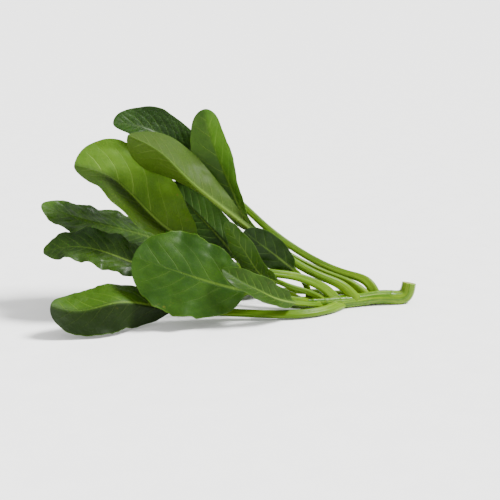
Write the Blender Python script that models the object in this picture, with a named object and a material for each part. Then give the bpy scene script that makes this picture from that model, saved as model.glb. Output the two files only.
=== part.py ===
"""A single green-stemmed bok choy as cut for sale, lying on its side: one thick round stalk with its
root end turned up, and smooth oval leaves on long petioles that fan up and away from it.
Sizes and places are in millimetres here and become metres when the meshes are made. +Z is up."""
import math

import bmesh
import bpy
import numpy as np
from mathutils import Vector

MM = 0.001
GAP = 0.3
CENTRE = Vector((3.8, 7.6, 0.0))  # bottom centre of the whole plant's box

# The stalk: its middle line and radius from the cut root end to the growing tip.
STALK_PATH = [(191, 46, 21), (187, 44, 8.5), (166, 40, 7.2), (139, 33, 6.6), (106, 20, 7.1),
              (75, 10, 9.5), (50, 5, 13), (34, 3, 17)]
STALK_RADIUS = [7.6, 8.0, 7.4, 7.3, 7.2, 6.6, 5.6, 4.2]
STALK_LENGTH = 175
STALK_SIDES_RESOLUTION = 4
STALK_STEPS = 30
WELD_DISTANCE = 0.00001

# The petiole and the rib that carries on under the blade, as half sizes of a full-sized leaf.
PETIOLE_HALF_WIDTH = 4.7
PETIOLE_HALF_DEPTH = 4.0
PETIOLE_DROP = 0.5        # its centre hangs this share of its half depth below the leaf's line
PETIOLE_END_SHARE = 0.82  # its size where the blade begins
TIP_RIB_SHARE = 0.14      # the rib's size at the blade's tip
RIB_TAPER_POWER = 0.8
RIB_BELOW = 1.5           # how far the rib stands out under the blade, in half depths
SHEATH_SHARE = 1.05       # the base is this much thicker
SHEATH_END = 0.25
SMALLEST_STEM_SHARE = 0.45
FULL_STEM_WIDTH = 55      # a leaf's stem grows by its half width over this

# The blade.
BLADE_THICKNESS = 1.0
LEAST_WING = 0.4
MARGIN_POWER = 0.5
LAST_BLADE_SHARE = 0.995
STATIONS = (0.0, 0.0, 0.36, 0.7, 1.0)  # from the middle, the rib's edge, and out to the margin
RIB_EDGE_TILT = 0.5
OPENING_START = 0.02
OPENING_LENGTH = 0.1
PETIOLE_RINGS_SHARE = 0.3
LEAST_PETIOLE_RINGS = 4
TIP_CROWDING = 1.35
SPLINE_SAMPLES = 240
DIRECTION_REACH = 0.01

STALK_GREEN = (0.36, 0.50, 0.12, 1.0)
LEAF_GREEN = (0.10, 0.23, 0.04, 1.0)

# joins: how far from the root end its petiole leaves the stalk. rib: the leaf's middle line after that.
# blade: where on the line the blade starts. face: which way the upper face looks, at its base and tip.
# left, right: how far each half rises, in degrees at its base and tip, and how far it curls outwards.
# wave: height, count and phase of the margin's waves.
LEAVES = {
    "leaf_back_top": {
        "joins": 46,
        "rib": [(147, 43, 23), (128, 51, 29.5), (100, 58, 39), (70, 66, 55),
                (40, 71, 77), (14, 73, 101), (-14, 72, 125), (-42, 68, 152),
                (-76, 61, 179), (-116, 52, 188)],
        "blade": 0.62, "half_width": 26, "broadest": 0.6, "face": [(-0.3, -0.7, 0.6), (-0.1, -0.7, 0.7)],
        "left": (20, 10, 20), "right": (20, 10, 20), "wave": (2.5, 3, 2.0), "rings": 26},
    "leaf_top_right": {
        "joins": 56,
        "rib": [(130, 36, 21), (108, 39, 30), (85, 41, 40), (60, 41, 54), (36, 38, 72),
                (17, 35, 96), (3, 33, 129), (-6, 32, 151), (-16, 33, 179),
                (-22, 35, 204)],
        "blade": 0.48, "half_width": 26, "broadest": 0.62, "face": [(-0.5, -0.8, 0.1), (-0.6, -0.8, 0.2)],
        "left": (58, 0, 10), "right": (35, 25, 10), "wave": (2.0, 3, 0.0), "rings": 24},
    "leaf_curled_top": {
        "joins": 68,
        "rib": [(119, 30, 22.5), (100, 27, 32), (70, 22, 49), (40, 15, 72),
                (14, 6, 95), (-12, 0, 117), (-38, -4, 140), (-64, -2, 165),
                (-96, 4, 181)],
        "blade": 0.44, "half_width": 36, "broadest": 0.74, "face": [(0.3, 1, -0.2), (-0.2, 1, -0.5)],
        "left": (110, 48, 15), "right": (25, 40, 10), "wave": (2.5, 3, 0.5), "rings": 24},
    "leaf_mid_right": {
        "joins": 122,
        "rib": [(83, 19, 21), (77, 17, 33), (62, 11, 49), (46, 6, 63), (30, -2, 77),
                (18, -8, 88)],
        "blade": 0.36, "half_width": 17, "broadest": 0.55, "face": [(-0.3, -0.8, 0.5), (-0.3, -0.8, 0.5)],
        "left": (25, 10, 10), "right": (-20, -10, 10), "wave": (1.5, 3, 1.0), "rings": 18},
    "leaf_big_left": {
        "joins": 90,
        "rib": [(100, 15, 24), (86, 10, 32.5), (70, 5, 39), (40, -3, 45), (10, -5, 52),
                (-14, -2, 62), (-42, 7, 76), (-70, 15, 95), (-97, 20, 122),
                (-122, 22, 141), (-152, 20, 150)],
        "blade": 0.5, "half_width": 46, "broadest": 0.62, "face": [(0.15, -0.9, 0.5), (0.25, -0.85, 0.6)],
        "left": (8, 0, 8), "right": (52, 42, 0), "wave": (3.0, 4, 0.0), "rings": 28},
    "leaf_front": {
        "joins": 118,
        "rib": [(78, 3, 12.5), (62, -9, 18), (40, -19, 26.5), (12, -31, 35),
                (-18, -40, 45.5), (-48, -45, 57), (-88, -46, 71)],
        "blade": 0.4, "half_width": 44, "broadest": 0.57, "face": [(0.1, -0.92, 0.38), (0, -0.95, 0.4)],
        "left": (10, -12, -10), "right": (0, 0, 5), "wave": (2.5, 4, 1.0), "rings": 26},
    "leaf_lower_left": {
        "joins": 84,
        "rib": [(110, 8, 6.8), (96, -6, 6.7), (76, -16, 6.7), (48, -20, 7),
                (10, -20, 8.5), (-35, -26, 12.5), (-72, -44, 22.3), (-104, -64, 30.2),
                (-138, -74, 25.3), (-163, -79, 32)],
        "blade": 0.6, "half_width": 30, "broadest": 0.55, "face": [(0, -0.7, 0.7), (0, -0.7, 0.7)],
        "left": (-8, -5, -20), "right": (-60, -6, -4), "wave": (1.5, 4, 2.0), "rings": 26},
    "leaf_far_left": {
        "joins": 128,
        "rib": [(60, 20, 17.5), (36, 29, 27), (0, 37, 41), (-40, 44, 56),
                (-80, 47, 70), (-115, 46, 80), (-152, 42, 90), (-190, 38, 106)],
        "blade": 0.5, "half_width": 31, "broadest": 0.5, "face": [(0, -0.6, 0.8), (0, -0.7, 0.7)],
        "left": (-20, -25, 10), "right": (10, 15, 10), "wave": (3.0, 5, 0.0), "rings": 26},
    "leaf_mid_left": {
        "joins": 140,
        "rib": [(42, -4, 21), (20, -6, 28), (-10, -8, 36), (-40, -11, 43),
                (-66, -13, 50), (-92, -15, 58), (-120, -16, 69), (-149, -16, 74),
                (-180, -15, 69)],
        "blade": 0.52, "half_width": 24, "broadest": 0.55, "face": [(0, -0.8, 0.6), (0, -0.6, 0.8)],
        "left": (15, 5, 10), "right": (15, 5, 10), "wave": (3.0, 5, 1.0), "rings": 24},
    "leaf_small_front": {
        "joins": 104,
        "rib": [(92, 4.5, 9.5), (78, -7, 13.5), (62, -18, 18.5), (48, -27, 25),
                (34, -35, 34), (16, -42, 45), (-3, -43, 58)],
        "blade": 0.34, "half_width": 15, "broadest": 0.5, "face": [(0.4, -0.7, 0.5), (0.2, -0.7, 0.5)],
        "left": (35, 20, 10), "right": (35, 20, 10), "wave": (1.5, 3, 0.0), "rings": 16},
    "leaf_inner": {
        "joins": 104,
        "rib": [(91, 11, 16), (79, 5, 23), (62, -1, 30), (50, -7, 36.5), (37, -12, 43),
                (26, -18, 58), (13, -18, 79), (0, -15, 99)],
        "blade": 0.42, "half_width": 14, "broadest": 0.5, "face": [(-0.5, -0.8, 0.2), (-0.5, -0.8, 0.2)],
        "left": (5, 0, 10), "right": (0, -10, 5), "wave": (1.5, 3, 0.0), "rings": 16},
    "leaf_heart": {
        "joins": 145,
        "rib": [(39, 12, 26), (24, 20, 38), (9, 31, 53), (-8, 41, 71), (-27, 49, 90),
                (-48, 54, 110), (-64, 55, 124)],
        "blade": 0.4, "half_width": 22, "broadest": 0.5, "face": [(-0.4, -0.9, 0.3), (-0.4, -0.9, 0.3)],
        "left": (-35, -25, 10), "right": (15, 10, 10), "wave": (1.5, 3, 0.0), "rings": 14},
    "leaf_back_low": {
        "joins": 30,
        "rib": [(156, 53, 8.6), (132, 58, 8), (100, 62, 8.4), (60, 67, 9),
                (10, 71, 8.5), (-40, 74, 5), (-70, 75, 3.9), (-100, 76, 4)],
        "blade": 0.45, "half_width": 29, "broadest": 0.55, "face": [(0, 0.1, 1), (0, 0.1, 1)],
        "left": (10, 7, -13), "right": (10, 7, -13), "wave": (1.6, 4, 0.0), "rings": 22},
}


def spline(points):
    """A natural cubic spline through the points: a function from length share to place and direction."""
    places = np.array(points, float)
    chords = np.concatenate([[0], np.cumsum(np.linalg.norm(np.diff(places, axis=0), axis=1))])
    count = len(places)
    step = np.diff(chords)
    system = np.eye(count)
    bends = np.zeros((count, places.shape[1]))
    for i in range(1, count - 1):
        system[i, i - 1:i + 2] = step[i - 1], 2 * (step[i - 1] + step[i]), step[i]
        bends[i] = 6 * ((places[i + 1] - places[i]) / step[i] - (places[i] - places[i - 1]) / step[i - 1])
    second = np.linalg.solve(system, bends)

    def at_chord(c):
        i = int(np.clip(np.searchsorted(chords, c) - 1, 0, count - 2))
        h, left, right = step[i], chords[i + 1] - c, c - chords[i]
        bent = (second[i] * left ** 3 + second[i + 1] * right ** 3) / (6 * h)
        return (bent + (places[i] / h - second[i] * h / 6) * left
                + (places[i + 1] / h - second[i + 1] * h / 6) * right)

    dense = np.linspace(0, chords[-1], SPLINE_SAMPLES + 1)
    line = np.array([at_chord(c) for c in dense])
    run = np.concatenate([[0], np.cumsum(np.linalg.norm(np.diff(line, axis=0), axis=1))])

    def at(share):
        shares = (share, max(share - DIRECTION_REACH, 0), min(share + DIRECTION_REACH, 1))
        place, before, after = (np.array([np.interp(s * run[-1], run, column) for column in line.T])
                                for s in shares)
        along = after - before
        return place, along / np.linalg.norm(along)

    return at


def smooth_step(low, high, value):
    share = min(max((value - low) / (high - low), 0.0), 1.0)
    return share * share * (3 - 2 * share)


def mix(pair, share):
    return pair[0] + (pair[1] - pair[0]) * share


def material(name, colour, roughness):
    made = bpy.data.materials.new(name)
    made.use_nodes = True
    shader = made.node_tree.nodes["Principled BSDF"]
    shader.inputs["Base Color"].default_value = colour
    shader.inputs["Roughness"].default_value = roughness
    return made


def stalk_mesh(grow):
    """The stalk's tube, grown by so many millimetres all round, as a closed mesh."""
    curve = bpy.data.curves.new("stalk_line", "CURVE")
    curve.dimensions = "3D"
    curve.bevel_depth = MM
    curve.bevel_resolution = STALK_SIDES_RESOLUTION
    curve.use_fill_caps = True
    path = spline(STALK_PATH)
    radius = spline([(i * 10, r) for i, r in enumerate(STALK_RADIUS)])
    line = curve.splines.new("POLY")
    line.points.add(STALK_STEPS)
    for i, point in enumerate(line.points):
        share = i / STALK_STEPS
        place, along = path(share)
        if i in (0, STALK_STEPS):
            place = place + along * (grow if i else -grow)
        point.co = (*(Vector(place) * MM), 1.0)
        point.radius = radius(share)[0][1] + grow
    holder = bpy.data.objects.new("stalk_line", curve)
    bpy.context.scene.collection.objects.link(holder)
    graph = bpy.context.evaluated_depsgraph_get()
    mesh = bpy.data.meshes.new_from_object(holder.evaluated_get(graph))
    bpy.data.objects.remove(holder)
    bm = bmesh.new()
    bm.from_mesh(mesh)
    bmesh.ops.remove_doubles(bm, verts=bm.verts, dist=WELD_DISTANCE)
    bmesh.ops.recalc_face_normals(bm, faces=bm.faces)
    bm.to_mesh(mesh)
    bm.free()
    return mesh


def flatten_underside(mesh):
    """Cuts the stalk at the surface it lies on, which leaves its small flat spot."""
    bm = bmesh.new()
    bm.from_mesh(mesh)
    cut = bmesh.ops.bisect_plane(bm, geom=bm.verts[:] + bm.edges[:] + bm.faces[:], dist=0.000001,
                                 plane_co=(0, 0, 0), plane_no=(0, 0, 1), clear_inner=True)
    edges = [e for e in cut["geom_cut"] if isinstance(e, bmesh.types.BMEdge)]
    bmesh.ops.holes_fill(bm, edges=edges, sides=0)
    bmesh.ops.recalc_face_normals(bm, faces=bm.faces)
    bm.to_mesh(mesh)
    bm.free()


def blade_half_width(leaf, share):
    """Half the blade's width at this share of its length, from the petiole to the blunt tip."""
    broadest = leaf["broadest"]
    base_power = MARGIN_POWER * broadest / (1 - broadest)
    return (leaf["half_width"] * (share / broadest) ** base_power
            * ((1 - share) / (1 - broadest)) ** MARGIN_POWER)


def half_blade(side, reach, rib, share, leaf):
    """Centre and tilt of one place on the blade: side is -1 or 1, reach runs from the rib to the margin."""
    rise, rise_tip, curl = leaf["left"] if side < 0 else leaf["right"]
    tilt = math.radians(mix((rise, rise_tip), share))
    turn = math.radians(curl) * reach["share"]
    out = reach["width"] * (math.sin(turn / 2) / (turn / 2) if turn else 1.0)
    across = side * (rib + out * math.cos(tilt + turn / 2))
    height = out * math.sin(tilt + turn / 2)
    tallness, count, phase = leaf["wave"]
    height += (tallness * reach["share"] ** 2 * math.sin(share * math.pi) ** 0.5
               * math.sin(2 * math.pi * count * share + phase + side))
    return across, height, tilt + turn


def ring(leaf, share):
    """Across and up places of one section: upper face left to right, then lower face right to left."""
    start = leaf["blade"]
    blade = min(max((share - start) / (1 - start), 0.0), LAST_BLADE_SHARE)
    size = min(1.0, SMALLEST_STEM_SHARE + leaf["half_width"] / FULL_STEM_WIDTH)
    size *= mix((SHEATH_SHARE, 1.0), smooth_step(0, SHEATH_END, share))
    if share < start:
        size *= mix((1.0, PETIOLE_END_SHARE), share / start)
    else:
        size *= mix((PETIOLE_END_SHARE, TIP_RIB_SHARE), blade ** RIB_TAPER_POWER)
    rib = PETIOLE_HALF_WIDTH * size
    depth = PETIOLE_HALF_DEPTH * size
    wide = blade_half_width(leaf, blade) if blade > 0 else 0.0
    wing = max(wide - rib, LEAST_WING)
    upper, lower = [], []
    half = len(STATIONS) - 1
    for k in range(-half, half + 1):
        side = -1 if k < 0 else 1
        step = STATIONS[abs(k)]
        reach = {"share": step, "width": wing * step}
        if k == 0:
            top, bottom = (0.0, BLADE_THICKNESS / 2), (0.0, -BLADE_THICKNESS / 2 - RIB_BELOW * depth)
        else:
            across, height, tilt = half_blade(side, reach, rib, blade, leaf)
            if abs(k) == 1:
                tilt *= RIB_EDGE_TILT
            lean = (-side * math.sin(tilt) * BLADE_THICKNESS / 2, math.cos(tilt) * BLADE_THICKNESS / 2)
            top, bottom = (across + lean[0], height + lean[1]), (across - lean[0], height - lean[1])
        upper.append(top)
        lower.append(bottom)
    leaf_ring = upper + lower[::-1]
    sides = len(leaf_ring)
    angles = [math.pi - (i + 0.5) * 2 * math.pi / sides for i in range(sides)]
    round_ring = [(rib * math.cos(a), depth * (math.sin(a) - PETIOLE_DROP)) for a in angles]
    opened = smooth_step(start - OPENING_START, start + OPENING_LENGTH * (1 - start) + OPENING_START, share)
    return [(mix((r[0], f[0]), opened), mix((r[1], f[1]), opened)) for r, f in zip(round_ring, leaf_ring)]


def leaf_shares(leaf):
    """Where the sections stand along the rib: even along the petiole, closer towards the blade's tip."""
    start, rings = leaf["blade"], leaf["rings"]
    petiole = max(LEAST_PETIOLE_RINGS, round(rings * PETIOLE_RINGS_SHARE))
    shares = [start * i / petiole for i in range(petiole)]
    steps = rings - petiole
    shares += [start + (1 - start) * (1 - (1 - i / steps) ** TIP_CROWDING) for i in range(steps + 1)]
    return shares


def leaf_mesh(name, leaf):
    """A loft of sections from petiole to tip, split into triangles alike on both faces."""
    stalk = spline(STALK_PATH)
    root, _ = stalk(leaf["joins"] / STALK_LENGTH)
    rib = spline([tuple(root)] + leaf["rib"])
    bm = bmesh.new()
    rows = []
    for share in leaf_shares(leaf):
        place, along = rib(share)
        place, along = Vector(place), Vector(along)
        turn = smooth_step(leaf["blade"], 1.0, share)
        face = Vector(leaf["face"][0]).lerp(Vector(leaf["face"][1]), turn)
        up = (face - along * face.dot(along)).normalized()
        sideways = up.cross(along)
        rows.append([bm.verts.new((place + sideways * a + up * h) * MM) for a, h in ring(leaf, share)])
    sides = len(rows[0])
    half = sides // 2
    for near, far in zip(rows, rows[1:]):
        for i in range(sides):
            j = (i + 1) % sides
            if i < half:
                bm.faces.new((near[i], near[j], far[j]))
                bm.faces.new((near[i], far[j], far[i]))
            else:
                bm.faces.new((near[i], near[j], far[i]))
                bm.faces.new((near[j], far[j], far[i]))
    for row in (rows[0], rows[-1]):
        middle = bm.verts.new(sum((v.co for v in row), Vector()) / sides)
        for i in range(sides):
            bm.faces.new((row[i], row[(i + 1) % sides], middle))
    bmesh.ops.recalc_face_normals(bm, faces=bm.faces)
    mesh = bpy.data.meshes.new(name)
    bm.to_mesh(mesh)
    bm.free()
    return mesh


def main():
    for old in list(bpy.data.objects):
        bpy.data.objects.remove(old)
    plant = bpy.data.collections.new("bok_choy")
    cutters = bpy.data.collections.new("cutters")
    bpy.context.scene.collection.children.link(plant)
    bpy.context.scene.collection.children.link(cutters)
    stalk_finish = material("stalk", STALK_GREEN, 0.4)
    leaf_finish = material("leaf", LEAF_GREEN, 0.5)

    body = stalk_mesh(0.0)
    flatten_underside(body)
    body.shade_smooth()
    body.materials.clear()
    body.materials.append(stalk_finish)
    plant.objects.link(bpy.data.objects.new("stalk", body))

    cutter = bpy.data.objects.new("stalk_clearance", stalk_mesh(GAP))
    cutter.hide_render = True
    cutter.display_type = "WIRE"
    cutters.objects.link(cutter)

    for name, leaf in LEAVES.items():
        mesh = leaf_mesh(name, leaf)
        mesh.shade_smooth()
        mesh.materials.append(leaf_finish)
        blade = bpy.data.objects.new(name, mesh)
        plant.objects.link(blade)
        trim = blade.modifiers.new("clear_of_stalk", "BOOLEAN")
        trim.operation = "DIFFERENCE"
        trim.object = cutter
        trim.solver = "EXACT"
    for part in (*plant.objects, *cutters.objects):
        part.location = -CENTRE * MM


main()
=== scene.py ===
import math

import bmesh
import bpy
import numpy as np
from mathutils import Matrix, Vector, noise


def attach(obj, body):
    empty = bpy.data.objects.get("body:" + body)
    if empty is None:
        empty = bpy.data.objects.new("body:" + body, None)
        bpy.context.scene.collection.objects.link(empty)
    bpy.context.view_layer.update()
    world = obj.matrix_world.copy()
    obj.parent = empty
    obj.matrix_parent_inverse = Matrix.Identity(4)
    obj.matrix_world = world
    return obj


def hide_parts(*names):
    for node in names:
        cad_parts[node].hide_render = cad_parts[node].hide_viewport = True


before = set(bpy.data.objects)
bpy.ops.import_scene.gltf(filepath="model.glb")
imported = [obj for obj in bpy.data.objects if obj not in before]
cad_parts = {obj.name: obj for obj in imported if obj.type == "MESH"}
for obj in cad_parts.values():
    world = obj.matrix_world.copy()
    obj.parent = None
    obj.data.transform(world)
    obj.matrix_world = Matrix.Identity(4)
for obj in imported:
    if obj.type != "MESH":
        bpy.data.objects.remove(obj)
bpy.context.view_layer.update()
print("frame loaded:", len(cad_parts), "nodes")

# Lengths are millimetres. The meshes are moved by plantCentre, which brings the middle of the plant
# to the origin, and turn into metres as they are made.
mm = 0.001
plantCentre = np.array([3.8, 7.6, 0.0])
noiseSteps = (7.31, 3.17, 1.93)                   # how far apart two seeds read the noise
weldDistance = 0.000001                           # metres


def smoothStep(low, high, value):
    share = np.clip((value - low) / (high - low), 0.0, 1.0)
    return share * share * (3 - 2 * share)


def mix(a, b, share):
    return a + (b - a) * share


def naturalSpline(points, samples=960):
    # a natural cubic through the points, read evenly by length: returns its length and a reader
    places = np.array(points, float)
    chords = np.concatenate([[0], np.cumsum(np.linalg.norm(np.diff(places, axis=0), axis=1))])
    step = np.diff(chords)
    count = len(places)
    system = np.eye(count)
    bends = np.zeros(places.shape)
    for i in range(1, count - 1):
        system[i, i - 1:i + 2] = step[i - 1], 2 * (step[i - 1] + step[i]), step[i]
        bends[i] = 6 * ((places[i + 1] - places[i]) / step[i] - (places[i] - places[i - 1]) / step[i - 1])
    second = np.linalg.solve(system, bends)
    at = np.linspace(0, chords[-1], samples + 1)
    i = np.clip(np.searchsorted(chords, at) - 1, 0, count - 2)
    h, left, right = (x[:, None] for x in (step[i], chords[i + 1] - at, at - chords[i]))
    line = ((second[i] * left ** 3 + second[i + 1] * right ** 3) / (6 * h)
            + (places[i] / h - second[i] * h / 6) * left
            + (places[i + 1] / h - second[i + 1] * h / 6) * right)
    run = np.concatenate([[0], np.cumsum(np.linalg.norm(np.diff(line, axis=0), axis=1))])

    def read(share):
        return np.stack([np.interp(share * run[-1], run, axis) for axis in line.T], axis=-1)

    return run[-1], read


def unit(vectors):
    return vectors / np.linalg.norm(vectors, axis=-1, keepdims=True)


def directions(read, share, reach=0.01):
    return unit(read(np.minimum(share + reach, 1)) - read(np.maximum(share - reach, 0)))


def lumps(places, size, seed):
    # smooth noise from -1 to 1 whose lumps are about this size
    offset = Vector([seed * step for step in noiseSteps])
    return np.array([noise.noise(Vector(p) / size + offset) for p in places])


def place(tree, kind, inputs=None, **settings):
    # adds a node: inputs are values or the sockets that feed them
    made = tree.nodes.new("ShaderNode" + kind)
    for name, value in settings.items():
        setattr(made, name, value)
    for name, value in (inputs or {}).items():
        if isinstance(value, bpy.types.NodeSocket):
            tree.links.new(value, made.inputs[name])
        else:
            made.inputs[name].default_value = value
    return made


def maths(tree, operation, *values):
    return place(tree, "Math", dict(enumerate(values)), operation=operation).outputs[0]


def times(tree, *values):
    product = values[0]
    for value in values[1:]:
        product = maths(tree, "MULTIPLY", product, value)
    return product


def fade(tree, value, low, high, start=0.0, end=1.0):
    # start below low, end above high, and an eased step between
    made = place(tree, "MapRange", {"Value": value, "From Min": low, "From Max": high,
                                    "To Min": start, "To Max": end}, interpolation_type="SMOOTHSTEP")
    return made.outputs["Result"]


def blend(tree, share, a, b, how="MIX"):
    return place(tree, "Mix", {0: share, 6: a, 7: b}, data_type="RGBA", blend_type=how).outputs[2]


def attribute(tree, name, output="Vector"):
    return place(tree, "Attribute", attribute_name=name).outputs[output]


def noiseAt(tree, vector, scale, detail=3.0, roughness=0.55, stretch=None):
    if stretch:
        vector = place(tree, "VectorMath", {0: vector, 1: stretch}, operation="MULTIPLY").outputs[0]
    return place(tree, "TexNoise", {"Vector": vector, "Scale": scale, "Detail": detail,
                                    "Roughness": roughness}).outputs["Fac"]


def principled(name, settings):
    made = bpy.data.materials.new(name)
    made.use_nodes = True
    shader = made.node_tree.nodes["Principled BSDF"]
    for key, value in settings.items():
        shader.inputs[key].default_value = value
    return made, made.node_tree, shader


def bumpInto(tree, shader, heights):
    # heights are pairs of a socket and how many millimetres it stands out
    below = None
    for socket, height in heights:
        made = place(tree, "Bump", {"Height": socket, "Distance": abs(height) * mm, "Strength": 1.0},
                     invert=height < 0)
        if below:
            tree.links.new(below, made.inputs["Normal"])
        below = made.outputs["Normal"]
    tree.links.new(below, shader.inputs["Normal"])


# The stalk: one thick round stem, cut across at the root end, with scars where leaves leave it.
# It starts at the cut. Scales are per metre, and the stretches draw a pattern out along the stalk.
stalk = {
    "path": [(191, 46, 21), (187, 44, 8.5), (166, 40, 7.2), (139, 33, 6.6), (106, 20, 7.1),
             (75, 10, 9.5), (50, 5, 13), (34, 3, 17)],
    "radius": [7.6, 8.0, 7.4, 7.3, 7.2, 6.6, 5.6, 4.2], "radiusStep": 10,
    "length": 175,                                # what joins are counted on
    "joins": (30, 46, 56, 68, 84, 90, 104, 118, 128, 140, 145),
    "sides": 112, "capRows": 16, "rows": 300,
    "sideways": (0.2, -1.0, 0.0), "turnReach": 0.03,
    "ridges": 9, "ridgeHeight": 0.14, "ridgeSway": 2, "swaySize": 2.5,
    "lumpHeight": 0.2, "lumpSize": 0.9, "lumpSink": 0.4, "lumpTurns": 9,
    "dish": 1.5, "fray": 0.45, "fraySize": 0.12, "rimRound": 0.5, "rimStart": 0.9,
    "scarHeight": 0.3, "scarWidth": 0.008, "scarSlant": 0.014, "scarEnds": 0.6, "scarEndSize": 0.7,
    "tipRound": 0.025,
    "streakScale": 900, "streakStretch": (1, 1, 0.035), "streakBump": 0.4,
    "bandScale": 330, "bandStretch": (1, 1, 0.05), "patchScale": 70, "patchBump": 0.4,
    "fibreScale": 1500, "fibreBump": 0.5, "shineScale": 160, "shineStretch": (1, 1, 0.2),
    "smoothest": 0.2, "roughest": 0.42, "cutRoughness": 0.3,
    "rootColour": (0.09567, 0.1751, 0.00081, 1), "middleColour": (0.059, 0.1419, 0.0002, 1),
    "topColour": (0.02474, 0.07806, 0.00032, 1), "streakColour": (0.159, 0.2332, 0.00446, 1),
    "cutColour": (0.35, 0.35, 0.11, 1), "cutEdgeColour": (0.14, 0.14, 0.03, 1),
    "scarColour": (0.055, 0.105, 0.010, 1),
}
stalkLength, stalkLine = naturalSpline(stalk["path"])
_, stalkRadius = naturalSpline([(i * stalk["radiusStep"], r) for i, r in enumerate(stalk["radius"])])


def stalkFinish():
    made, tree, shader = principled("stalkSkin", {
        "Subsurface Weight": 0.25, "Subsurface Radius": (0.6, 1.0, 0.25), "Subsurface Scale": 0.003,
        "Specular IOR Level": 0.16, "Coat Weight": 0.10, "Coat Roughness": 0.16})
    skin = attribute(tree, "stalkPlace")
    along, cut, scar = place(tree, "SeparateXYZ", {0: attribute(tree, "stalkShare")}).outputs
    colour = blend(tree, fade(tree, along, 0.0, 0.16), stalk["rootColour"], stalk["middleColour"])
    colour = blend(tree, fade(tree, along, 0.4, 0.95), colour, stalk["topColour"])
    streaks = noiseAt(tree, skin, stalk["streakScale"], 4, 0.6, stalk["streakStretch"])
    bands = noiseAt(tree, skin, stalk["bandScale"], 3, 0.5, stalk["bandStretch"])
    colour = blend(tree, fade(tree, bands, 0.38, 0.62, 0.55, 0), colour, stalk["topColour"])
    colour = blend(tree, fade(tree, bands, 0.5, 0.7, 0, 0.5), colour, stalk["streakColour"])
    colour = blend(tree, fade(tree, streaks, 0.42, 0.72, 0, 0.75), colour, stalk["streakColour"])
    patches = noiseAt(tree, skin, stalk["patchScale"], 3, 0.5)
    colour = blend(tree, fade(tree, patches, 0.35, 0.7, 0, 0.35), colour, stalk["topColour"])
    colour = blend(tree, fade(tree, scar, 0.25, 0.95, 0, 0.55), colour, stalk["scarColour"])
    fibres = noiseAt(tree, skin, stalk["fibreScale"], 3, 0.7)
    cutFace = blend(tree, fade(tree, fibres, 0.35, 0.65), stalk["cutColour"], stalk["cutEdgeColour"])
    colour = blend(tree, fade(tree, cut, 0.2, 0.8), colour, cutFace)
    tree.links.new(colour, shader.inputs["Base Color"])
    shine = noiseAt(tree, skin, stalk["shineScale"], 4, 0.6, stalk["shineStretch"])
    rough = fade(tree, shine, 0.3, 0.75, stalk["smoothest"], stalk["roughest"])
    rough = maths(tree, "ADD", rough, fade(tree, cut, 0.2, 0.8, 0.0, stalk["cutRoughness"]))
    tree.links.new(rough, shader.inputs["Roughness"])
    bumpInto(tree, shader, [(streaks, stalk["streakBump"]), (patches, stalk["patchBump"]),
                            (times(tree, fibres, cut), stalk["fibreBump"])])
    return made


def makeStalk():
    bm = bmesh.new()
    rows, caps = stalk["rows"], stalk["capRows"]
    bmesh.ops.create_grid(bm, x_segments=stalk["sides"], y_segments=rows, size=0.5)
    flat = np.array([v.co[:] for v in bm.verts])
    turn = (flat[:, 0] + 0.5) * 2 * math.pi
    row = np.round((flat[:, 1] + 0.5) * rows)
    cap = np.clip(row / caps, 0, 1)               # from the middle of the cut to its rim
    share = np.clip((row - caps) / (rows - caps), 0, 1)
    radius = stalkRadius(share)[:, 1]
    spun = np.stack([np.cos(turn), np.sin(turn), share * stalk["lumpTurns"]], axis=1)
    sway = stalk["ridgeSway"] * lumps(spun, stalk["swaySize"], 3)
    radius += stalk["ridgeHeight"] * (np.cos(stalk["ridges"] * turn + sway) - 1)
    radius += stalk["lumpHeight"] * (lumps(spun, stalk["lumpSize"], 5) - stalk["lumpSink"])
    scar = np.zeros(len(share))
    for join in stalk["joins"]:
        # a scar goes only part of the way round
        slant = stalk["scarSlant"] * np.sin(turn + join)
        away = (share - join / stalk["length"] + slant) / stalk["scarWidth"]
        ends = stalk["scarEnds"] * lumps(spun, stalk["scarEndSize"], join)
        part = smoothStep(-0.5, 0.6, np.sin(turn + join * 2.3) + ends)
        scar = np.maximum(scar, part * np.exp(-away ** 2))
    radius += stalk["scarHeight"] * scar
    end = np.clip((share - 1 + stalk["tipRound"]) / stalk["tipRound"], 0, 1)
    radius *= np.sqrt(1 - end ** 2)
    disc = np.stack([np.cos(turn) * cap, np.sin(turn) * cap, cap * 0], axis=1)
    fray = lumps(disc, stalk["fraySize"], 8)
    sunk = np.where(cap < 1, stalk["dish"] * (1 - cap ** 3) + stalk["fray"] * (0.5 + 0.5 * fray), 0)
    sunk = np.maximum(sunk, stalk["rimRound"] * smoothStep(stalk["rimStart"], 1.0, cap) * (cap < 1))
    radius *= cap
    along = directions(stalkLine, share, stalk["turnReach"])
    reference = np.array(stalk["sideways"])
    sideways = unit(reference - along * (along @ reference)[:, None])
    up = np.cross(along, sideways)
    spread = (np.cos(turn) * radius)[:, None] * sideways + (np.sin(turn) * radius)[:, None] * up
    middle = stalkLine(share) + along * sunk[:, None]
    places = middle + spread - plantCentre
    places[:, 2] = np.maximum(places[:, 2], 0)    # flat where it lies on the surface
    skin = bm.verts.layers.float_vector.new("stalkPlace")
    shares = bm.verts.layers.float_vector.new("stalkShare")
    for v, spot, s, c, m, r, t in zip(bm.verts, places, share, cap, scar, radius, turn):
        v.co = Vector(spot) * mm
        v[skin] = Vector((r * math.cos(t), r * math.sin(t), s * stalkLength)) * mm
        v[shares] = (s, 1 - smoothStep(0.88, 0.99, c), m)
    closePiece(bm, "cutStalk", "stalk", stalkFinish())


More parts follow.
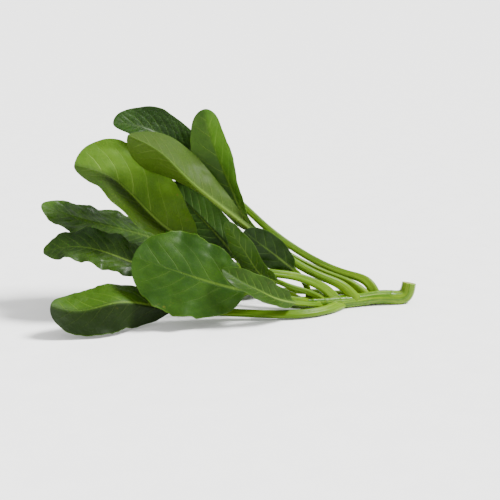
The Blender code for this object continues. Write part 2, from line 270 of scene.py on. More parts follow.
def closePiece(bm, name, node, finish):
    # welds the seam, turns every face outwards and stands the piece in for its node
    bmesh.ops.remove_doubles(bm, verts=bm.verts, dist=weldDistance)
    bmesh.ops.recalc_face_normals(bm, faces=bm.faces)
    mesh = bpy.data.meshes.new(name)
    bm.to_mesh(mesh)
    bm.free()
    mesh.shade_smooth()
    mesh.materials.append(finish)
    piece = bpy.data.objects.new(name, mesh)
    bpy.context.scene.collection.objects.link(piece)
    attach(piece, "root")
    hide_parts(node)
    return piece


# What all leaves share. The petiole's and the rib's half sizes are those of a full-sized leaf.
leafForm = {
    "petioleHalfWidth": 4.7, "petioleHalfDepth": 4.0, "petioleDrop": 0.5, "petioleEnd": 0.82,
    "petioleGroove": 0.28, "tipRib": 0.14, "ribTaper": 0.8, "ribBelow": 1.5, "ribGroove": 0.35,
    "sheath": 1.32, "sheathEnd": 0.14, "smallestStem": 0.45, "fullStemWidth": 55,
    "thickness": 0.62, "edgeRound": 0.4, "leastWing": 0.4, "marginPower": 0.5, "openingLength": 0.1,
    "openingStart": 0.02,
    "grooveSharpness": 7, "leanStart": 0.15, "lowest": 0.05,
    "columns": 128, "ribShare": 0.1875, "petioleRows": 72, "bladeRows": 130,
    "marginCrowding": 1.4, "tipCrowding": 1.7, "tipThin": 4, "mostRib": 0.45,
    "veinRise": 0.95, "veinCurve": 0.5, "veinWander": 0.30, "veinWanderSize": 38, "veinStagger": 0.27,
    "sideReach": 0.985, "dentSize": 16, "fineDents": 3.1, "fineDentDepth": 0.35,
    "frillSize": 9, "domeSize": 9, "foldSize": 32, "smallFoldSize": 13, "puckerSize": 6,
}


def leafSection(leaf, length, share, column, seed):
    # column goes once round the leaf: 0 to 0.5 is the upper face, the rest the lower one
    # returns each point's place across and up, and its place on the flattened leaf for the finish
    form = leafForm
    start = leaf["blade"]
    lower = column > 0.5
    signed = np.where(lower, 3 - 4 * column, 4 * column - 1)
    blade = np.clip((share - start) / (1 - start), 0, 1)
    side = np.where(signed < 0, -1.0, 1.0)
    ribPart = np.clip(np.abs(signed) / form["ribShare"], 0, 1)
    outer = np.clip((np.abs(signed) - form["ribShare"]) / (1 - form["ribShare"]), 0, 1)
    reach = 1 - (1 - outer) ** form["marginCrowding"]
    size = min(1, form["smallestStem"] + leaf["halfWidth"] / form["fullStemWidth"])
    size = size * mix(form["sheath"], 1, smoothStep(0, form["sheathEnd"], share))
    size *= np.where(share < start, mix(1, form["petioleEnd"], share / start),
                     mix(form["petioleEnd"], form["tipRib"], blade ** form["ribTaper"]))
    rib = form["petioleHalfWidth"] * size
    depth = form["petioleHalfDepth"] * size
    broadest = leaf["broadest"]
    wide = (form["sideReach"] * leaf["halfWidth"]
            * (blade / broadest) ** (form["marginPower"] * broadest / (1 - broadest))
            * ((1 - blade) / (1 - broadest)) ** form["marginPower"])
    margin = np.stack([blade * length * (1 - start) / form["dentSize"], side * 3, blade * 0], axis=1)
    fineDents = lumps(margin * [form["fineDents"], 1, 1], 1, seed + 20)
    dents = 0.5 + 0.5 * lumps(margin, 1, seed) + form["fineDentDepth"] * fineDents
    wide *= 1 - leaf["ragged"] * dents.clip(0) * smoothStep(0, 0.3, blade)
    late = blade > 0.5
    tipFade = np.where(late, np.sqrt(np.clip(wide / form["tipThin"], 0, 1)), 1)
    rib = np.where(late, np.minimum(rib, form["mostRib"] * wide), rib)
    depth = depth * tipFade
    wing = np.maximum(wide - rib, np.where(late, 0, form["leastWing"]))

    # the blade: each half rises, curls outwards and waves along its margin
    risen = [mix(*leaf[key][:2], blade) for key in ("left", "right")]
    tilt = np.radians(np.where(side < 0, risen[0], risen[1]))
    turn = np.radians(np.where(side < 0, leaf["left"][2], leaf["right"][2])) * reach
    out = wing * reach * np.sinc(turn / 2 / math.pi)
    across = side * (rib * ribPart + out * np.cos(tilt + turn / 2))
    height = out * np.sin(tilt + turn / 2)
    swell = np.sqrt(np.sin(blade * math.pi).clip(0))
    tall, count, phase = leaf["wave"]
    height += tall * reach ** 2 * swell * np.sin(2 * math.pi * count * blade + phase + side)
    along = blade * length * (1 - start)
    flatAcross = side * (rib * ribPart + wing * reach)
    flat = np.stack([flatAcross, share * length, 0 * share], axis=1)
    frill = lumps(np.stack([along / form["frillSize"], side * 5, 0 * along], axis=1), 1, seed + 2)
    height += leaf["frill"] * reach ** 4 * swell * frill

    # side veins arch from the rib towards the tip, with the blade domed between them
    q = wing * reach / leaf["halfWidth"]
    climb = leaf["halfWidth"] * (form["veinRise"] * q + form["veinCurve"] * q * q)
    phase = (along - climb) / leaf["veinGap"] + form["veinStagger"] * side * smoothStep(0.2, 1, ribPart)
    phase += form["veinWander"] * lumps(flat + [0, 0, 40], form["veinWanderSize"], seed + 4)
    dome = 1 - (2 * np.abs(phase - np.floor(phase) - 0.5)) ** 2
    inBlade = smoothStep(0.02, 0.16, blade) * (1 - smoothStep(0.86, 1, blade))
    inWing = smoothStep(0.0, 0.25, reach) * (1 - 0.75 * smoothStep(0.6, 1, reach))
    dome = dome * (0.8 + 0.5 * lumps(flat, form["domeSize"], seed + 6)) - 0.4
    height += leaf["quilt"] * inBlade * inWing * dome
    smallFolds = 0.5 * lumps(flat * [1.5, 1, 1], form["smallFoldSize"], seed + 10)
    folds = lumps(flat, form["foldSize"], seed + 8) + smallFolds
    height += leaf["crumple"] * inBlade * smoothStep(0.0, 0.6, reach) * folds
    puckers = lumps(flat, form["puckerSize"], seed + 9)
    height += leaf["pucker"] * inBlade * smoothStep(0.0, 0.3, reach) * puckers

    # thickness: a thin blade with a round edge, a groove over the rib and a keel under it
    edge = np.sqrt(np.clip(wing * (1 - reach) / form["edgeRound"], 0, 1))
    half = form["thickness"] / 2 * tipFade * np.where(ribPart < 1, 1, edge)
    lean = (tilt * ribPart + turn) * mix(0.5, 1, np.clip(reach / form["leanStart"], 0, 1))
    face = np.where(lower, -1.0, 1.0)
    leafAcross = across - face * side * np.sin(lean) * half
    leafHeight = height + face * np.cos(lean) * half
    roof = np.sqrt(np.clip(1 - ribPart ** 2, 0, 1))
    keel = form["ribBelow"] * depth * roof ** 1.5
    groove = form["ribGroove"] * size * roof ** 2
    leafHeight -= np.where(lower, keel, groove)

    # the petiole: round, grooved along its top
    angle = math.pi - 2 * math.pi * column
    trough = form["petioleGroove"] * np.clip(np.sin(angle), 0, 1) ** form["grooveSharpness"]
    lift = np.sin(angle) - trough
    roundAcross = rib * np.cos(angle)
    roundHeight = depth * (lift - form["petioleDrop"])
    opened = smoothStep(start - form["openingStart"],
                        start + form["openingLength"] * (1 - start) + form["openingStart"], share)
    flat[:, 0] = mix(roundAcross, flatAcross, opened)
    flat[:, 2] = roundHeight * (1 - opened)
    shares = np.stack([np.where(share < start, share / start - 1, blade),
                       np.where(ribPart < 1, ribPart, 1 + reach), phase], axis=1)
    return mix(roundAcross, leafAcross, opened), mix(roundHeight, leafHeight, opened), flat, shares


def makeLeaf(name, leaf, seed):
    form = leafForm
    columns, petioleRows = form["columns"], form["petioleRows"]
    rows = petioleRows + form["bladeRows"]
    bm = bmesh.new()
    bmesh.ops.create_grid(bm, x_segments=columns, y_segments=rows, size=0.5)
    grid = np.array([v.co[:] for v in bm.verts])
    column = grid[:, 0] + 0.5
    row = np.round((grid[:, 1] + 0.5) * rows)
    start = leaf["blade"]
    part = np.clip((row - petioleRows) / (rows - petioleRows), 0, 1)
    share = np.where(row <= petioleRows, start * row / petioleRows,
                     start + (1 - start) * (1 - (1 - part) ** form["tipCrowding"]))
    root = stalkLine(np.array([leaf["joins"] / stalk["length"]]))[0]
    length, ribLine = naturalSpline([tuple(root)] + leaf["rib"])
    across, height, flat, shares = leafSection(leaf, length, share, column, seed)
    across, height = (np.where(row == 0, 0, x) for x in (across, height))  # closes the hidden base
    along = directions(ribLine, share)
    facing = smoothStep(start, 1, share)[:, None]
    looks = mix(np.array(leaf["face"][0], float), np.array(leaf["face"][1], float), facing)
    up = unit(looks - along * np.sum(looks * along, axis=1, keepdims=True))
    sideways = np.cross(up, along)
    places = ribLine(share) + sideways * across[:, None] + up * height[:, None] - plantCentre
    places[:, 2] = np.maximum(places[:, 2], form["lowest"])
    leafPlace = bm.verts.layers.float_vector.new("leafPlace")
    leafShare = bm.verts.layers.float_vector.new("leafShare")
    under = bm.faces.layers.float.new("under")
    for face in bm.faces:
        face[under] = float(face.calc_center_median().x > 0)   # the grid's second half is the lower face
    for v, spot, onLeaf, inLeaf in zip(bm.verts, places, flat, shares):
        v.co = Vector(spot) * mm
        v[leafPlace] = Vector(onLeaf) * mm
        v[leafShare] = inLeaf
    piece = closePiece(bm, name, leaf["node"], leafFinish(name, leaf, seed))
    print("leaf", name, len(piece.data.polygons), "faces")


# The finish that all leaves share; each leaf's own dictionary gives its greens. Scales are per metre.
leafSkin = {
    "petiole": (0.0465, 0.1092, 0.00072, 1), "petioleBase": (0.08184, 0.1533, 0.0021, 1),
    "petioleStreak": (0.1395, 0.2078, 0.00765, 1),
    "rib": (0.130, 0.215, 0.026, 1), "ribTip": (0.060, 0.125, 0.008, 1),
    "vein": (0.120, 0.200, 0.028, 1), "underVein": (0.0575, 0.0924, 0.01375, 1),
    "edge": (0.04675, 0.0992, 0.005, 1), "spot": (0.130, 0.105, 0.012, 1),
    "patchScale": 26, "cloudScale": 90, "grainScale": 420, "spotScale": 75, "shineScale": 60,
    "streakScale": 1100, "streakStretch": (1, 0.035, 1), "bandScale": 420, "bandStretch": (1, 0.05, 1),
    "netScale": 260.0, "netWidth": 0.08, "fineNetScale": 800.0, "fineNetWidth": 0.14,
    "netBendScale": 260.0, "netBend": (0.002, 0.002, 0.0),
    "wobbleScale": 130, "wobble": 1.6, "veinWidth": 0.85, "veinEndWidth": 0.3, "thinVein": 0.55,
    "breakScale": 55, "ribHalfWidth": 0.34, "underRibHalfWidth": 0.62, "seedShift": 0.37,
    "glossSpread": 0.16, "underDull": 0.16, "stemGloss": 0.27, "stemGrain": 0.12,
    "veinDepth": 0.25, "thinVeinDepth": 0.4, "fineNetDepth": 0.35, "cloudBump": 0.25,
    "grainBump": 0.07, "stemBump": 0.3,
}


def lineAt(tree, phase, width):
    # how far the phase is from a whole number, and a line of this width along each
    cycle = maths(tree, "FRACT", maths(tree, "ADD", phase, 0.5))
    away = maths(tree, "ABSOLUTE", maths(tree, "SUBTRACT", cycle, 0.5))
    return away, fade(tree, maths(tree, "DIVIDE", away, width), 0.3, 1.4, 1, 0)


def netAt(tree, flat, scale, width):
    # a net of small cells with bent walls
    bend = place(tree, "TexNoise", {"Vector": flat, "Scale": leafSkin["netBendScale"]}).outputs["Color"]
    bent = place(tree, "VectorMath", {0: bend, 1: leafSkin["netBend"], 2: flat}, operation="MULTIPLY_ADD")
    cells = place(tree, "TexVoronoi", {"Vector": bent.outputs[0], "Scale": scale},
                  feature="DISTANCE_TO_EDGE")
    return fade(tree, cells.outputs["Distance"], 0.0, width, 1, 0)


def leafVeins(tree, leaf, flat):
    # side veins, thin ones between them, and two nets: each a mask from 0 to 1
    skin = leafSkin
    along, reach, phase = place(tree, "SeparateXYZ", {0: attribute(tree, "leafShare")}).outputs
    wobble = maths(tree, "SUBTRACT", noiseAt(tree, flat, skin["wobbleScale"], 2), 0.5)
    phase = maths(tree, "ADD", phase, times(tree, wobble, skin["wobble"] / leaf["veinGap"]))
    inBlade = times(tree, fade(tree, along, 0.0, 0.06), fade(tree, along, 0.9, 0.99, 1, 0))
    outward = times(tree, inBlade, fade(tree, reach, 1.35, 1.9, 1, 0.05))
    width = fade(tree, reach, 1.0, 2.0, skin["veinWidth"] / leaf["veinGap"],
                 skin["veinEndWidth"] / leaf["veinGap"])
    away, vein = lineAt(tree, phase, width)
    between = maths(tree, "ADD", phase, 0.5)
    _, thin = lineAt(tree, between, maths(tree, "MULTIPLY", width, skin["thinVein"]))
    broken = fade(tree, noiseAt(tree, flat, skin["breakScale"], 2), 0.4, 0.62)
    return {
        "along": along, "reach": reach, "inBlade": inBlade,
        "vein": times(tree, vein, outward), "glow": times(tree, outward, fade(tree, away, 0.0, 0.3, 1, 0)),
        "thin": times(tree, thin, inBlade, broken, fade(tree, reach, 1.1, 1.7, 0.6, 0)),
        "net": times(tree, netAt(tree, flat, skin["netScale"], skin["netWidth"]), inBlade),
        "fineNet": times(tree, netAt(tree, flat, skin["fineNetScale"], skin["fineNetWidth"]), inBlade),
    }


def leafFinish(name, leaf, seed):
    made, tree, shader = principled(name + "Skin", {
        "Subsurface Weight": 0.08, "Subsurface Radius": (0.35, 0.8, 0.1), "Subsurface Scale": 0.0015,
        "Specular IOR Level": 0.08, "Coat Weight": leaf["coat"], "Coat Roughness": 0.28})
    skin = leafSkin
    flat = attribute(tree, "leafPlace")
    across = place(tree, "SeparateXYZ", {0: flat}).outputs[0]
    shift = (0, 0, seed * skin["seedShift"])        # no two leaves show the same patch of a pattern
    flat = place(tree, "VectorMath", {0: flat, 1: shift}, operation="ADD").outputs[0]
    under = attribute(tree, "under", "Fac")
    veins = leafVeins(tree, leaf, flat)
    along, reach, inBlade = veins["along"], veins["reach"], veins["inBlade"]
    vein, thin = veins["vein"], veins["thin"]

    # upper face: two greens in cloudy patches, lighter along the veins
    patches = noiseAt(tree, flat, skin["patchScale"], 5, 0.6)
    clouds = noiseAt(tree, flat, skin["cloudScale"], 4, 0.6)
    grain = noiseAt(tree, flat, skin["grainScale"], 3, 0.6)
    colour = blend(tree, fade(tree, patches, 0.32, 0.68), leaf["dark"], leaf["light"])
    colour = blend(tree, fade(tree, clouds, 0.4, 0.7, 0, 0.35), colour, leaf["dark"])
    colour = blend(tree, fade(tree, grain, 0.35, 0.75, 0, 0.25), colour, leaf["dark"])
    colour = blend(tree, times(tree, veins["glow"], 0.35), colour, leaf["light"])
    for mask, strength in ((veins["fineNet"], 0.10), (veins["net"], 0.14), (thin, 0.5), (vein, 1.0)):
        colour = blend(tree, times(tree, mask, strength * leaf["veinShow"]), colour, skin["vein"])

    # lower face: greyer, with the veins standing out
    below = blend(tree, fade(tree, patches, 0.3, 0.7, 0, 0.3), leaf["under"], leaf["light"])
    below = blend(tree, fade(tree, clouds, 0.4, 0.7, 0, 0.25), below, leaf["light"])
    for mask, strength in ((veins["fineNet"], 0.08), (veins["net"], 0.16), (thin, 0.25), (vein, 0.5)):
        below = blend(tree, times(tree, mask, strength), below, skin["underVein"])
    colour = blend(tree, under, colour, below)

    # both faces: each half lighter or darker, as painted light and painted shade, then the margin and a
    # few blemishes
    sides = fade(tree, across, -0.004, 0.004, leaf["leftPaintedShading"], leaf["rightPaintedShading"])
    colour = blend(tree, 1.0, colour, sides, "MULTIPLY")
    margin = times(tree, inBlade, fade(tree, reach, 1.955, 1.99))
    colour = blend(tree, times(tree, margin, 0.5), colour, skin["edge"])
    blemish = fade(tree, noiseAt(tree, flat, skin["spotScale"], 4, 0.7), 0.66, 0.74)
    blemish = times(tree, blemish, inBlade, fade(tree, reach, 1.3, 1.9, 0.1, 0.6))
    colour = blend(tree, blemish, colour, skin["spot"])

    # rib and petiole, streaked along their length
    streaks = noiseAt(tree, flat, skin["streakScale"], 4, 0.6, skin["streakStretch"])
    bands = noiseAt(tree, flat, skin["bandScale"], 3, 0.5, skin["bandStretch"])
    ribColour = blend(tree, fade(tree, along, 0.1, 0.95), skin["rib"], skin["ribTip"])
    ribColour = blend(tree, fade(tree, streaks, 0.45, 0.75, 0, 0.3), ribColour, skin["petioleStreak"])
    ribEdge = fade(tree, under, 0, 1, skin["ribHalfWidth"], skin["underRibHalfWidth"])
    ribMask = fade(tree, maths(tree, "SUBTRACT", reach, ribEdge), -0.15, 0.3, 1, 0)
    ribMask = times(tree, ribMask, fade(tree, along, 0.25, 0.95, leaf["ribShow"], 0.3 * leaf["ribShow"]))
    colour = blend(tree, ribMask, colour, ribColour)
    stem = blend(tree, fade(tree, along, -1.0, -0.5), skin["petioleBase"], skin["petiole"])
    stem = blend(tree, fade(tree, streaks, 0.42, 0.72, 0, 0.7), stem, skin["petioleStreak"])
    stem = blend(tree, fade(tree, bands, 0.38, 0.6, 0.5, 0), stem, skin["ribTip"])
    stem = blend(tree, fade(tree, patches, 0.4, 0.7, 0, 0.3), stem, leaf["light"])
    stemShare = fade(tree, along, -0.03, 0.07, 1, 0)
    colour = blend(tree, stemShare, colour, stem)
    tree.links.new(colour, shader.inputs["Base Color"])

    # gloss: the upper face is smoother than the lower, and the petiole smoothest
    shine = noiseAt(tree, flat, skin["shineScale"], 5, 0.65)
    rough = fade(tree, shine, 0.3, 0.72, leaf["gloss"], leaf["gloss"] + skin["glossSpread"])
    rough = maths(tree, "ADD", rough, times(tree, under, skin["underDull"]))
    smooth = maths(tree, "ADD", skin["stemGloss"], times(tree, grain, skin["stemGrain"]))
    rough = place(tree, "Mix", {0: stemShare, 2: rough, 3: smooth}, data_type="FLOAT").outputs[0]
    tree.links.new(rough, shader.inputs["Roughness"])

    # relief: veins sink into the upper face and stand out of the lower one
    faceSign = fade(tree, under, 0, 1, -1, 1)
    allVeins = maths(tree, "ADD", vein, times(tree, thin, skin["thinVeinDepth"]))
    allNets = maths(tree, "ADD", veins["net"], times(tree, veins["fineNet"], skin["fineNetDepth"]))
    veinRelief = times(tree, faceSign, allVeins)
    netRelief = times(tree, faceSign, allNets)
    stemStreaks = times(tree, streaks, fade(tree, reach, 0.9, 1.1, 1, 0))
    bumpInto(tree, shader, [(veinRelief, skin["veinDepth"]), (netRelief, leaf["netDepth"]),
                            (clouds, skin["cloudBump"]), (grain, skin["grainBump"]),
                            (stemStreaks, skin["stemBump"])])
    return made


makeStalk()
print("stalk made")

# In each leaf's dictionary, rib runs from the stalk to the tip, and the blade starts at that share of
# its length. face is where the upper face looks at the blade's start and at its tip. left and right
# are how far that half rises at the start, at the tip, and how far it curls, in degrees. wave is a
# height, a number of waves and where they start. The two shading numbers scale the colour of the
# left and the right half: below 1 is painted shade on a half that hangs in shadow, above 1 painted light.
backTop = {
    "node": "leaf_back_top", "joins": 46,
    "rib": [(147, 43, 23), (128, 51, 29.5), (100, 58, 39), (70, 66, 55), (40, 71, 77),
            (14, 73, 101), (-14, 72, 125), (-42, 68, 152), (-76, 61, 179), (-116, 52, 188)],
    "blade": 0.62, "halfWidth": 26, "broadest": 0.6, "face": [(-0.3, -0.7, 0.6), (-0.1, -0.7, 0.7)],
    "left": (20, 10, 20), "right": (20, 10, 20), "wave": (2.5, 3, 2.0),
    "frill": 1.2, "veinGap": 9.5, "quilt": 0.55, "crumple": 1.4, "pucker": 0.5, "ragged": 0.04,
    "dark": (0.00504, 0.0204, 0.0005, 1), "light": (0.01512, 0.04675, 0.0012, 1),
    "under": (0.02, 0.03808, 0.004, 1),
    "leftPaintedShading": 1, "rightPaintedShading": 1, "veinShow": 0.09, "ribShow": 0.3, "netDepth": 0.3,
    "gloss": 0.36, "coat": 0.08,
}
makeLeaf("backTopLeaf", backTop, 1)

topRight = {
    "node": "leaf_top_right", "joins": 56,
    "rib": [(130, 36, 21), (108, 39, 30), (85, 41, 40), (60, 41, 54), (36, 38, 72), (17, 35, 96),
            (3, 33, 129), (-6, 32, 151), (-16, 33, 179), (-22, 35, 204)],
    "blade": 0.48, "halfWidth": 26, "broadest": 0.62, "face": [(-0.5, -0.8, 0.1), (-0.6, -0.8, 0.2)],
    "left": (58, 0, 10), "right": (35, 25, 10), "wave": (2.0, 3, 0.0),
    "frill": 1, "veinGap": 17, "quilt": 0.3, "crumple": 1, "pucker": 0.12, "ragged": 0.03,
    "dark": (0.02178, 0.05883, 0.00448, 1), "light": (0.04158, 0.09413, 0.008, 1),
    "under": (0.025, 0.0476, 0.0048, 1),
    # its left half is painted lighter, as painted light on a half folded into shade
    "leftPaintedShading": 2.0, "rightPaintedShading": 1, "veinShow": 0.3, "ribShow": 0.7, "netDepth": 0.08,
    "gloss": 0.4, "coat": 0.048,
}
makeLeaf("topRightLeaf", topRight, 2)

curledTop = {
    "node": "leaf_curled_top", "joins": 68,
    "rib": [(119, 30, 22.5), (100, 27, 32), (70, 22, 49), (40, 15, 72), (14, 6, 95),
            (-12, 0, 117), (-38, -4, 140), (-64, -2, 165), (-96, 4, 181)],
    "blade": 0.44, "halfWidth": 36, "broadest": 0.74, "face": [(0.3, 1, -0.2), (-0.2, 1, -0.5)],
    "left": (110, 48, 15), "right": (25, 40, 10), "wave": (2.5, 3, 0.5),
    "frill": 1, "veinGap": 13, "quilt": 0.25, "crumple": 1.2, "pucker": 0.12, "ragged": 0.03,
    "dark": (0.012, 0.0374, 0.00125, 1), "light": (0.0228, 0.0544, 0.0025, 1),
    "under": (0.02635, 0.05107, 0.0036, 1),
    # its left half is painted lighter, as painted light on a half folded back into shade
    "leftPaintedShading": 1.3, "rightPaintedShading": 1, "veinShow": 0.25, "ribShow": 0.5, "netDepth": 0.08,
    "gloss": 0.4, "coat": 0.02,
}
makeLeaf("curledTopLeaf", curledTop, 3)

midRight = {
    "node": "leaf_mid_right", "joins": 122,
    "rib": [(83, 19, 21), (77, 17, 33), (62, 11, 49), (46, 6, 63), (30, -2, 77), (18, -8, 88)],
    "blade": 0.36, "halfWidth": 17, "broadest": 0.55, "face": [(-0.3, -0.8, 0.5), (-0.3, -0.8, 0.5)],
    "left": (25, 10, 10), "right": (-20, -10, 10), "wave": (1.5, 3, 1.0),
    "frill": 0.8, "veinGap": 13, "quilt": 0.25, "crumple": 0.8, "pucker": 0.12, "ragged": 0.03,
    "dark": (0.0054, 0.0204, 0.00075, 1), "light": (0.0144, 0.04216, 0.0015, 1),
    "under": (0.0225, 0.042, 0.0044, 1),
    # its right half is painted darker, as painted shade
    "leftPaintedShading": 1, "rightPaintedShading": 0.8, "veinShow": 0.12, "ribShow": 0.4, "netDepth": 0.08,
    "gloss": 0.4, "coat": 0.048,
}
makeLeaf("midRightLeaf", midRight, 4)

bigLeft = {
    "node": "leaf_big_left", "joins": 90,
    "rib": [(100, 15, 24), (86, 10, 32.5), (70, 5, 39), (40, -3, 45), (10, -5, 52),
            (-14, -2, 62), (-42, 7, 76), (-70, 15, 95), (-97, 20, 122), (-122, 22, 141),
            (-152, 20, 150)],
    "blade": 0.5, "halfWidth": 46, "broadest": 0.62, "face": [(0.15, -0.9, 0.5), (0.25, -0.85, 0.6)],
    "left": (8, 0, 8), "right": (52, 42, 0), "wave": (3.0, 4, 0.0),
    "frill": 1.2, "veinGap": 21, "quilt": 0.4, "crumple": 1.6, "pucker": 0.12, "ragged": 0.05,
    "dark": (0.0358, 0.08628, 0.00358, 1), "light": (0.06107, 0.1273, 0.00598, 1),
    "under": (0.025, 0.0476, 0.0048, 1),
    # its right half is painted much darker, as painted shade
    "leftPaintedShading": 1, "rightPaintedShading": 0.32, "veinShow": 0.6, "ribShow": 0.9, "netDepth": 0.06,
    "gloss": 0.42, "coat": 0.03,
}
makeLeaf("bigLeftLeaf", bigLeft, 5)

frontBlade = {
    "node": "leaf_front", "joins": 118,
    "rib": [(78, 3, 12.5), (62, -9, 18), (40, -19, 26.5), (12, -31, 35), (-18, -40, 45.5),
            (-48, -45, 57), (-88, -46, 71)],
    "blade": 0.4, "halfWidth": 44, "broadest": 0.57, "face": [(0.1, -0.92, 0.38), (0, -0.95, 0.4)],
    "left": (10, -12, -10), "right": (0, 0, 5), "wave": (2.5, 4, 1.0),
    "frill": 0.8, "veinGap": 18, "quilt": 0.18, "crumple": 2, "pucker": 0.1, "ragged": 0.11,
    "dark": (0.00931, 0.03254, 0.00112, 1), "light": (0.02049, 0.05522, 0.00224, 1),
    "under": (0.0225, 0.042, 0.0044, 1),
    "leftPaintedShading": 1, "rightPaintedShading": 1, "veinShow": 0.07, "ribShow": 0.3, "netDepth": 0.06,
    "gloss": 0.44, "coat": 0.03,
}
makeLeaf("frontLeaf", frontBlade, 6)

lowerLeft = {
    "node": "leaf_lower_left", "joins": 84,
    "rib": [(110, 8, 6.8), (96, -6, 6.7), (76, -16, 6.7), (48, -20, 7), (10, -20, 8.5),
            (-35, -26, 12.5), (-72, -44, 22.3), (-104, -64, 30.2), (-138, -74, 25.3),
            (-163, -79, 32)],
    "blade": 0.6, "halfWidth": 30, "broadest": 0.55, "face": [(0, -0.7, 0.7), (0, -0.7, 0.7)],
    "left": (-8, -5, -20), "right": (-60, -6, -4), "wave": (1.5, 4, 2.0),
    "frill": 1, "veinGap": 14, "quilt": 0.3, "crumple": 1.6, "pucker": 0.12, "ragged": 0.1,
    "dark": (0.0153, 0.04461, 0.0009, 1), "light": (0.0252, 0.0631, 0.0016, 1),
    "under": (0.0225, 0.0448, 0.0044, 1),
    # its right half, which hangs down at the front, is painted much darker, as painted shade
    "leftPaintedShading": 1, "rightPaintedShading": 0.22, "veinShow": 0.22, "ribShow": 0.5, "netDepth": 0.08,
    "gloss": 0.44, "coat": 0.015,
}
makeLeaf("lowerLeftLeaf", lowerLeft, 7)

farLeft = {
    "node": "leaf_far_left", "joins": 128,
    "rib": [(60, 20, 17.5), (36, 29, 27), (0, 37, 41), (-40, 44, 56), (-80, 47, 70),
            (-115, 46, 80), (-152, 42, 90), (-190, 38, 106)],
    "blade": 0.5, "halfWidth": 31, "broadest": 0.5, "face": [(0, -0.6, 0.8), (0, -0.7, 0.7)],
    "left": (-20, -25, 10), "right": (10, 15, 10), "wave": (3.0, 5, 0.0),
    "frill": 1.8, "veinGap": 10, "quilt": 0.4, "crumple": 2.8, "pucker": 0.5, "ragged": 0.16,
    "dark": (0.0102, 0.03548, 0.00082, 1), "light": (0.04082, 0.1013, 0.00228, 1),
    "under": (0.02, 0.03808, 0.004, 1),
    "leftPaintedShading": 1.12, "rightPaintedShading": 1.12, "veinShow": 0.08, "ribShow": 0.3, "netDepth": 0.16,
    "gloss": 0.36, "coat": 0.14,
}
makeLeaf("farLeftLeaf", farLeft, 8)

midLeft = {
    "node": "leaf_mid_left", "joins": 140,
    "rib": [(42, -4, 21), (20, -6, 28), (-10, -8, 36), (-40, -11, 43), (-66, -13, 50),
            (-92, -15, 58), (-120, -16, 69), (-149, -16, 74), (-180, -15, 69)],
    "blade": 0.52, "halfWidth": 24, "broadest": 0.55, "face": [(0, -0.8, 0.6), (0, -0.6, 0.8)],
    "left": (15, 5, 10), "right": (15, 5, 10), "wave": (3.0, 5, 1.0),
    "frill": 1.8, "veinGap": 9.5, "quilt": 0.4, "crumple": 2.8, "pucker": 0.5, "ragged": 0.16,
    "dark": (0.0058, 0.02122, 0.00075, 1), "light": (0.02318, 0.05712, 0.0025, 1),
    "under": (0.02, 0.03808, 0.004, 1),
    # its right half is painted darker, as painted shade
    "leftPaintedShading": 1, "rightPaintedShading": 0.8, "veinShow": 0.09, "ribShow": 0.7, "netDepth": 0.14,
    "gloss": 0.38, "coat": 0.08,
}
makeLeaf("midLeftLeaf", midLeft, 9)

smallFront = {
    "node": "leaf_small_front", "joins": 104,
    "rib": [(92, 4.5, 9.5), (78, -7, 13.5), (62, -18, 18.5), (48, -27, 25), (34, -35, 34),
            (16, -42, 45), (-3, -43, 58)],
    "blade": 0.34, "halfWidth": 15, "broadest": 0.5, "face": [(0.4, -0.7, 0.5), (0.2, -0.7, 0.5)],
    "left": (35, 20, 10), "right": (35, 20, 10), "wave": (1.5, 3, 0.0),
    "frill": 0.6, "veinGap": 10, "quilt": 0.25, "crumple": 0.6, "pucker": 0.08, "ragged": 0.02,
    "dark": (0.01292, 0.03829, 0.00128, 1), "light": (0.02385, 0.05856, 0.00256, 1),
    "under": (0.025, 0.0476, 0.0048, 1),
    # its right half is painted darker, as painted shade
    "leftPaintedShading": 1, "rightPaintedShading": 0.75, "veinShow": 0.2, "ribShow": 0.6, "netDepth": 0.05,
    "gloss": 0.4, "coat": 0.048,
}
makeLeaf("smallFrontLeaf", smallFront, 10)

inner = {
    "node": "leaf_inner", "joins": 104,
    "rib": [(91, 11, 16), (79, 5, 23), (62, -1, 30), (50, -7, 36.5), (37, -12, 43),
            (26, -18, 58), (13, -18, 79), (0, -15, 99)],
    "blade": 0.42, "halfWidth": 14, "broadest": 0.5, "face": [(-0.5, -0.8, 0.2), (-0.5, -0.8, 0.2)],
    "left": (5, 0, 10), "right": (0, -10, 5), "wave": (1.5, 3, 0.0),
    "frill": 0.6, "veinGap": 10, "quilt": 0.25, "crumple": 0.6, "pucker": 0.08, "ragged": 0.02,
    "dark": (0.0162, 0.04692, 0.00179, 1), "light": (0.0297, 0.07194, 0.0036, 1),
    "under": (0.0275, 0.0504, 0.0052, 1),
    "leftPaintedShading": 1, "rightPaintedShading": 1, "veinShow": 0.2, "ribShow": 0.6, "netDepth": 0.05,
    "gloss": 0.4, "coat": 0.048,
}
makeLeaf("innerLeaf", inner, 11)

heart = {
    "node": "leaf_heart", "joins": 145,
    "rib": [(39, 12, 26), (24, 20, 38), (9, 31, 53), (-8, 41, 71), (-27, 49, 90), (-48, 54, 110),
            (-64, 55, 124)],
    "blade": 0.4, "halfWidth": 22, "broadest": 0.5, "face": [(-0.4, -0.9, 0.3), (-0.4, -0.9, 0.3)],
    "left": (-35, -25, 10), "right": (15, 10, 10), "wave": (1.5, 3, 0.0),
    "frill": 0.6, "veinGap": 11, "quilt": 0.3, "crumple": 0.5, "pucker": 0.08, "ragged": 0.02,
    "dark": (0.0084, 0.02856, 0.00176, 1), "light": (0.0192, 0.05168, 0.0035, 1),
    "under": (0.025, 0.0476, 0.0048, 1),
    "leftPaintedShading": 1, "rightPaintedShading": 1, "veinShow": 0.14, "ribShow": 0.4, "netDepth": 0.06,
    "gloss": 0.4, "coat": 0.048,
}
makeLeaf("heartLeaf", heart, 12)

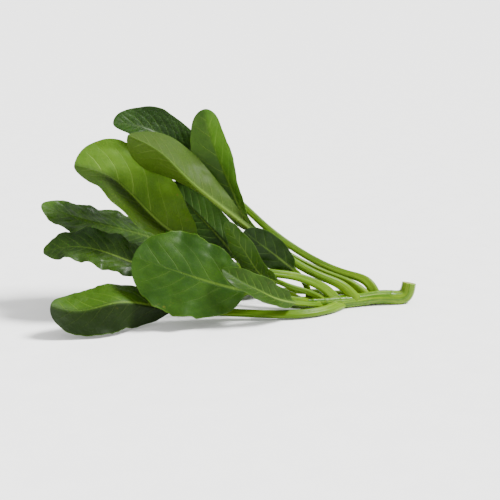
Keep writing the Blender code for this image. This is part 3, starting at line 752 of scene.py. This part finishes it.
backLow = {
    "node": "leaf_back_low", "joins": 30,
    "rib": [(156, 53, 8.6), (132, 58, 8), (100, 62, 8.4), (60, 67, 9), (10, 71, 8.5),
            (-40, 74, 5), (-70, 75, 3.9), (-100, 76, 4)],
    "blade": 0.45, "halfWidth": 29, "broadest": 0.55, "face": [(0, 0.1, 1), (0, 0.1, 1)],
    "left": (10, 7, -13), "right": (10, 7, -13), "wave": (1.6, 4, 0.0),
    "frill": 0.8, "veinGap": 13, "quilt": 0.35, "crumple": 0.7, "pucker": 0.15, "ragged": 0.03,
    "dark": (0.006, 0.02176, 0.00088, 1), "light": (0.0144, 0.0408, 0.00175, 1),
    "under": (0.0225, 0.042, 0.0044, 1),
    "leftPaintedShading": 1, "rightPaintedShading": 1, "veinShow": 0.09, "ribShow": 0.35, "netDepth": 0.1,
    "gloss": 0.4, "coat": 0.048,
}
makeLeaf("backLowLeaf", backLow, 13)
print("leaves made")

# The studio is in metres and degrees, with the lens and its sensor in millimetres.
studio = {
    "floorSize": 100.0, "floorColour": (0.90, 0.90, 0.89, 1), "floorDrop": 0.0002,
    "floorRoughness": 0.7, "speckleScale": 30, "speckle": 0.97,
    "worldColour": (1.0, 1.0, 1.0, 1), "worldStrength": 1.2,
    "target": (0.0202, -0.0076, 0.067), "distance": 1.1, "elevation": 13.0, "lens": 79.2, "sensor": 36,
    "sunFrom": (0.75, -0.06, 1.0), "sunWidth": 20.0, "sunPower": 10.5,
    "fillPlace": (-0.5, -1.3, 0.8), "fillSize": 1.2, "fillPower": 3.0,
}


def makeFloor():
    bm = bmesh.new()
    bmesh.ops.create_grid(bm, x_segments=2, y_segments=2, size=studio["floorSize"])
    bmesh.ops.translate(bm, vec=(0, 0, -studio["floorDrop"]), verts=bm.verts)
    mesh = bpy.data.meshes.new("floor")
    bm.to_mesh(mesh)
    bm.free()
    made, tree, shader = principled("paleFloor", {"Roughness": studio["floorRoughness"]})
    speckle = noiseAt(tree, place(tree, "TexCoord").outputs["Object"], studio["speckleScale"], 4)
    tint = fade(tree, speckle, 0.3, 0.7, studio["speckle"], 1.0)
    colour = blend(tree, 1.0, studio["floorColour"], tint, "MULTIPLY")
    tree.links.new(colour, shader.inputs["Base Color"])
    mesh.materials.append(made)
    floor = bpy.data.objects.new("floor", mesh)
    bpy.context.scene.collection.objects.link(floor)


def makeLight(name, kind, spot, size, power):
    # size is a sun's width in the sky in degrees, or a disk's width in metres
    lamp = bpy.data.lights.new(name, kind)
    lamp.energy = power
    if kind == "SUN":
        lamp.angle = math.radians(size)
    else:
        lamp.shape = "DISK"
        lamp.size = size
    holder = bpy.data.objects.new(name, lamp)
    holder.location = spot
    holder.rotation_euler = (Vector(spot) - Vector(studio["target"])).to_track_quat("Z", "Y").to_euler()
    bpy.context.scene.collection.objects.link(holder)


def makeCamera():
    tilt = math.radians(studio["elevation"])
    back = Vector((0, -math.cos(tilt), math.sin(tilt)))
    camera = bpy.data.objects.new("camera", bpy.data.cameras.new("camera"))
    camera.data.sensor_width = studio["sensor"]
    camera.data.lens = studio["lens"]
    camera.location = Vector(studio["target"]) + back * studio["distance"]
    camera.rotation_euler = back.to_track_quat("Z", "Y").to_euler()
    bpy.context.scene.collection.objects.link(camera)
    bpy.context.scene.camera = camera


makeFloor()
makeLight("keySun", "SUN", studio["sunFrom"], studio["sunWidth"], studio["sunPower"])
makeLight("fillLight", "AREA", studio["fillPlace"], studio["fillSize"], studio["fillPower"])
makeCamera()
world = bpy.data.worlds.new("studioWorld")
world.use_nodes = True
world.node_tree.nodes["Background"].inputs["Color"].default_value = studio["worldColour"]
world.node_tree.nodes["Background"].inputs["Strength"].default_value = studio["worldStrength"]
bpy.context.scene.world = world
print("studio made")
